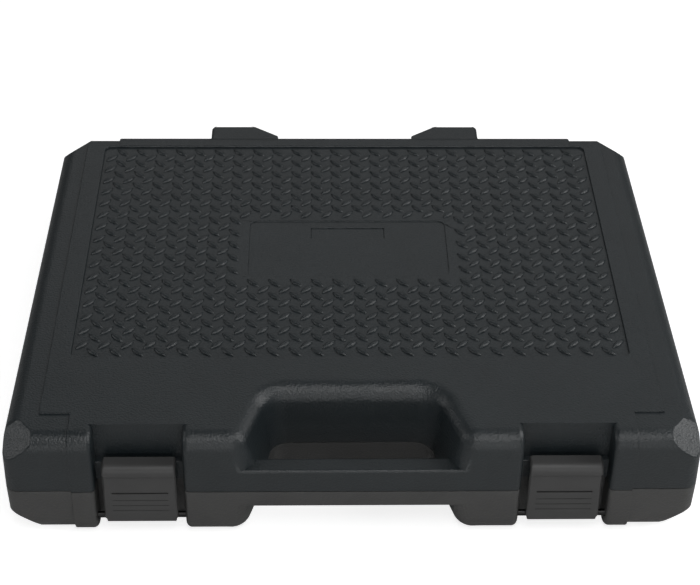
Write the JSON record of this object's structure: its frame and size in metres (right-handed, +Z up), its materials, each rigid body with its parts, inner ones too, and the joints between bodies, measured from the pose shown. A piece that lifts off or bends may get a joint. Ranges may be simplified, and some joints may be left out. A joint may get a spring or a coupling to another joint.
{
  "type": "tool case",
  "caption": "Closed flat blow-moulded tool case with a moulded hand grip, clip latches, pinned rear hinges, a tread-patterned lid and lined halves with wells for tools.",
  "frame": {"origin": "middle of the underside, under the centre of the bounding box", "axes": "+X to the right along the front, +Y to the hinges, +Z up out of the lid, with the case closed and lying flat"},
  "size_m": [0.4078, 0.337, 0.076],
  "materials": {
    "shell_plastic": "black grained polyethylene, dull with fine bright specks on the round edges",
    "tray_plastic": "black polyethylene, smooth and dull",
    "latch_plastic": "black acetal, satin",
    "pin_steel": "drawn wire, blackened"
  },
  "bodies": {
    "base": {"base_shell": "shell_plastic", "base_tool_tray": "tray_plastic", "hinge_pin_left": "pin_steel", "hinge_pin_right": "pin_steel", "latch_pin_left": "pin_steel", "latch_pin_right": "pin_steel"},
    "lid": {"lid_shell": "shell_plastic", "lid_inner_panel": "tray_plastic"},
    "latch_left": {"latch_left": "latch_plastic"},
    "latch_right": {"latch_right": "latch_plastic"}
  },
  "joints": [
    {"name": "lid_hinge", "type": "hinge", "parent": "base", "child": "lid", "pos_m": [0, 0.1615, 0.03555], "axis": [-1, 0, 0], "range_deg": [0, 102]},
    {"name": "latch_left_hinge", "type": "hinge", "parent": "base", "child": "latch_left", "pos_m": [-0.125, -0.1638, 0.0132], "axis": [1, 0, 0], "range_deg": [0, 95]},
    {"name": "latch_right_hinge", "type": "hinge", "parent": "base", "child": "latch_right", "pos_m": [0.125, -0.1638, 0.0132], "axis": [1, 0, 0], "range_deg": [0, 95]}
  ]
}
